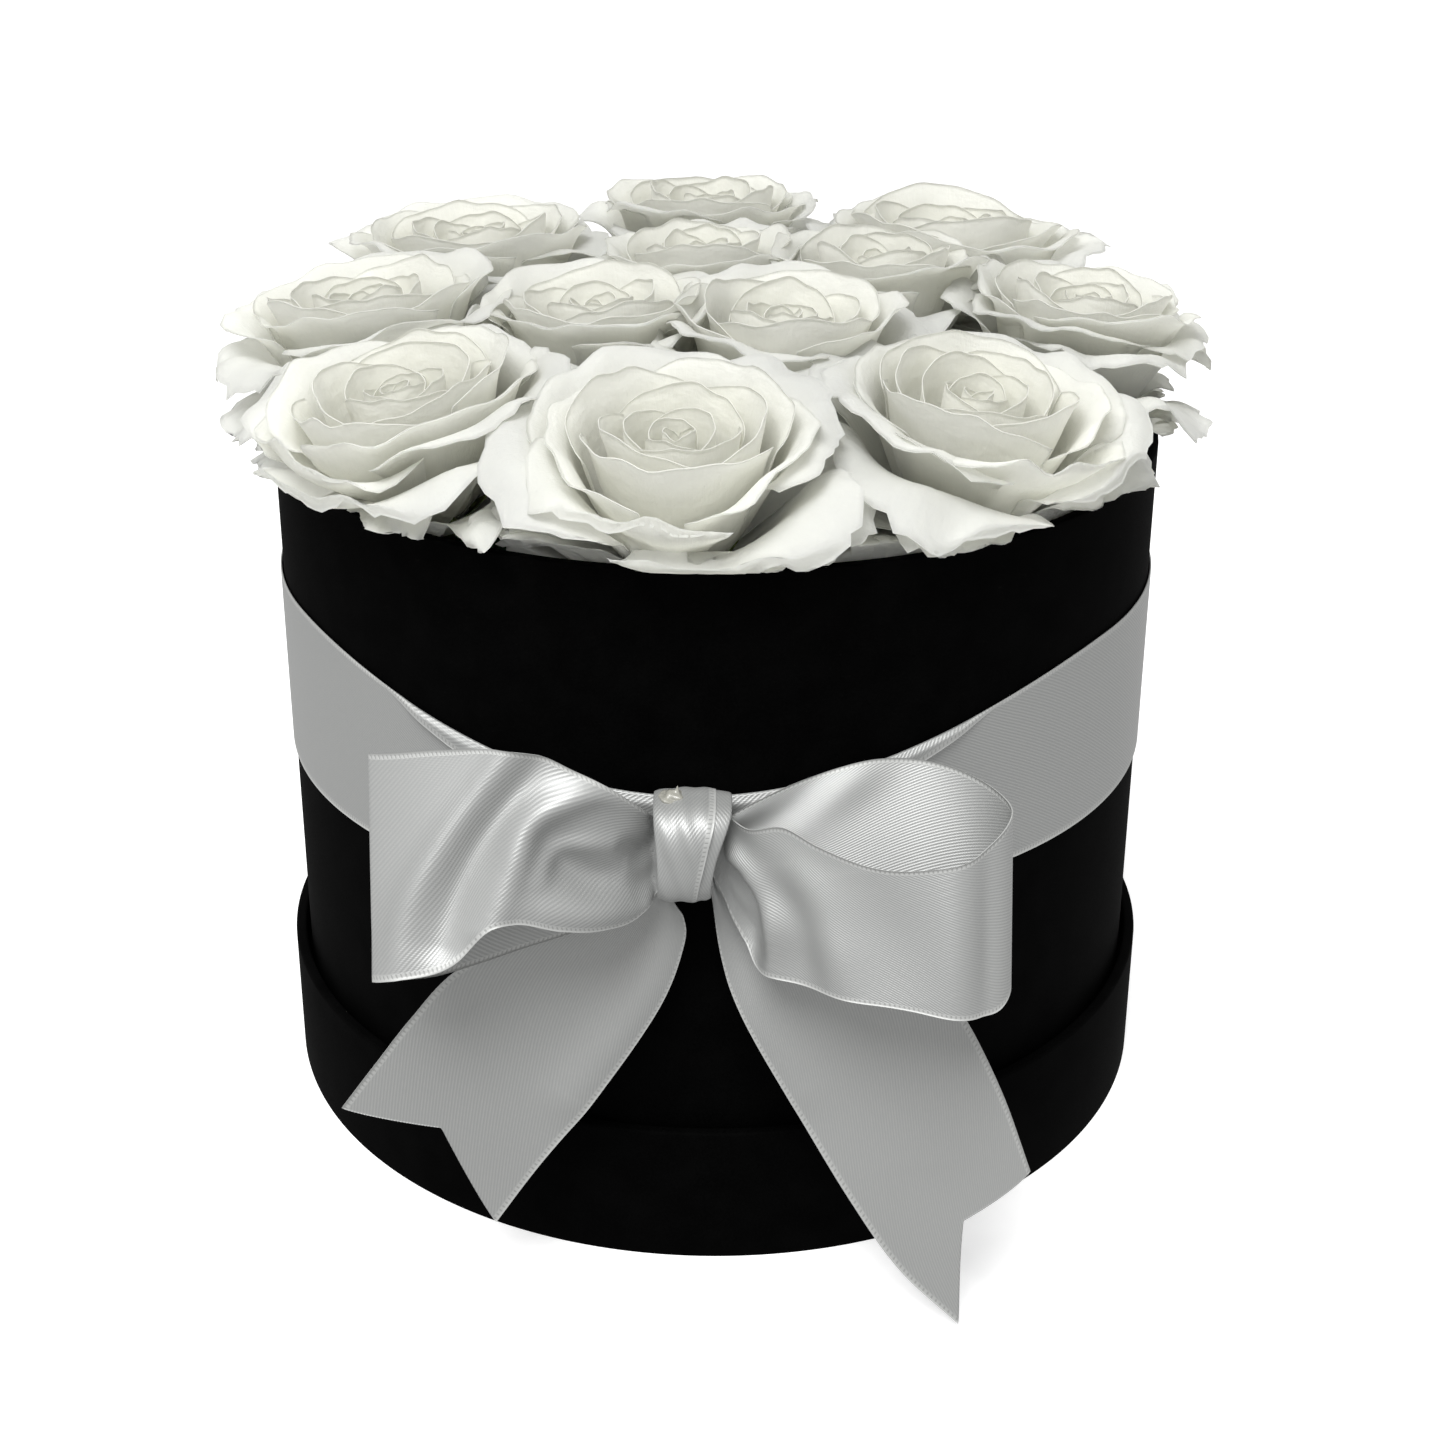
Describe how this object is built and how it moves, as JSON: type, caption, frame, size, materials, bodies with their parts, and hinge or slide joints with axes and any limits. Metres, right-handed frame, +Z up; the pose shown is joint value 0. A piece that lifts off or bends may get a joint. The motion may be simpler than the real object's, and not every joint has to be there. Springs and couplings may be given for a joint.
{
  "type": "flower box",
  "caption": "Round covered cardboard flower box standing in its own upturned lid, tied with a satin ribbon bow and filled with rose heads on short stems in a foam block.",
  "frame": {"origin": "middle of the underside of the upturned lid, on the surface that the box stands on", "axes": "+Z up; -Y towards the bow, which is the front; +X to the right seen from the front"},
  "size_m": [0.2167, 0.2377, 0.1928],
  "materials": {
    "black_paper": "matte",
    "greyboard": "matte",
    "satin_ribbon": "satin",
    "glue": "gloss",
    "foam": "matte",
    "petals": "matte",
    "sepals": "matte",
    "stems": "matte"
  },
  "bodies": {
    "lid": {"lid_wall_board": "greyboard", "lid_top_board": "greyboard", "lid_wrap": "black_paper", "lid_top_paper": "black_paper", "lid_lining_strip": "black_paper", "lid_lining_disc": "black_paper"},
    "box": {"box_wall_board": "greyboard", "box_base_board": "greyboard", "box_wrap": "black_paper", "box_base_paper": "black_paper", "box_lining_strip": "black_paper", "box_lining_disc": "black_paper", "ribbon_band": "satin_ribbon", "bow_loop_left": "satin_ribbon", "bow_loop_right": "satin_ribbon", "bow_tail_left": "satin_ribbon", "bow_tail_right": "satin_ribbon", "bow_knot": "satin_ribbon", "bow_glue_dab": "glue"},
    "insert": {"foam_block": "foam"},
    "rose_01": {"rose_01_bloom": "petals", "rose_01_calyx": "sepals", "rose_01_stem": "stems"},
    "rose_02": {"rose_02_bloom": "petals", "rose_02_calyx": "sepals", "rose_02_stem": "stems"},
    "rose_03": {"rose_03_bloom": "petals", "rose_03_calyx": "sepals", "rose_03_stem": "stems"},
    "rose_04": {"rose_04_bloom": "petals", "rose_04_calyx": "sepals", "rose_04_stem": "stems"},
    "rose_05": {"rose_05_bloom": "petals", "rose_05_calyx": "sepals", "rose_05_stem": "stems"},
    "rose_06": {"rose_06_bloom": "petals", "rose_06_calyx": "sepals", "rose_06_stem": "stems"},
    "rose_07": {"rose_07_bloom": "petals", "rose_07_calyx": "sepals", "rose_07_stem": "stems"},
    "rose_08": {"rose_08_bloom": "petals", "rose_08_calyx": "sepals", "rose_08_stem": "stems"},
    "rose_09": {"rose_09_bloom": "petals", "rose_09_calyx": "sepals", "rose_09_stem": "stems"},
    "rose_10": {"rose_10_bloom": "petals", "rose_10_calyx": "sepals", "rose_10_stem": "stems"},
    "rose_11": {"rose_11_bloom": "petals", "rose_11_calyx": "sepals", "rose_11_stem": "stems"},
    "rose_12": {"rose_12_bloom": "petals", "rose_12_calyx": "sepals", "rose_12_stem": "stems"}
  },
  "joints": [
    {"name": "box_lift", "type": "slide", "parent": "lid", "child": "box", "axis": [0, 0, 1], "range_m": [0, 0.04]},
    {"name": "insert_lift", "type": "slide", "parent": "box", "child": "insert", "axis": [0, 0, 1], "range_m": [0, 0.155]},
    {"name": "rose_01_pull", "type": "slide", "parent": "insert", "child": "rose_01", "axis": [0, 0, 1], "range_m": [0, 0.065]},
    {"name": "rose_02_pull", "type": "slide", "parent": "insert", "child": "rose_02", "axis": [0, 0, 1], "range_m": [0, 0.065]},
    {"name": "rose_03_pull", "type": "slide", "parent": "insert", "child": "rose_03", "axis": [0, 0, 1], "range_m": [0, 0.065]},
    {"name": "rose_04_pull", "type": "slide", "parent": "insert", "child": "rose_04", "axis": [0, 0, 1], "range_m": [0, 0.065]},
    {"name": "rose_05_pull", "type": "slide", "parent": "insert", "child": "rose_05", "axis": [0, 0, 1], "range_m": [0, 0.065]},
    {"name": "rose_06_pull", "type": "slide", "parent": "insert", "child": "rose_06", "axis": [0, 0, 1], "range_m": [0, 0.065]},
    {"name": "rose_07_pull", "type": "slide", "parent": "insert", "child": "rose_07", "axis": [0, 0, 1], "range_m": [0, 0.065]},
    {"name": "rose_08_pull", "type": "slide", "parent": "insert", "child": "rose_08", "axis": [0, 0, 1], "range_m": [0, 0.065]},
    {"name": "rose_09_pull", "type": "slide", "parent": "insert", "child": "rose_09", "axis": [0, 0, 1], "range_m": [0, 0.065]},
    {"name": "rose_10_pull", "type": "slide", "parent": "insert", "child": "rose_10", "axis": [0, 0, 1], "range_m": [0, 0.065]},
    {"name": "rose_11_pull", "type": "slide", "parent": "insert", "child": "rose_11", "axis": [0, 0, 1], "range_m": [0, 0.065]},
    {"name": "rose_12_pull", "type": "slide", "parent": "insert", "child": "rose_12", "axis": [0, 0, 1], "range_m": [0, 0.065]}
  ]
}
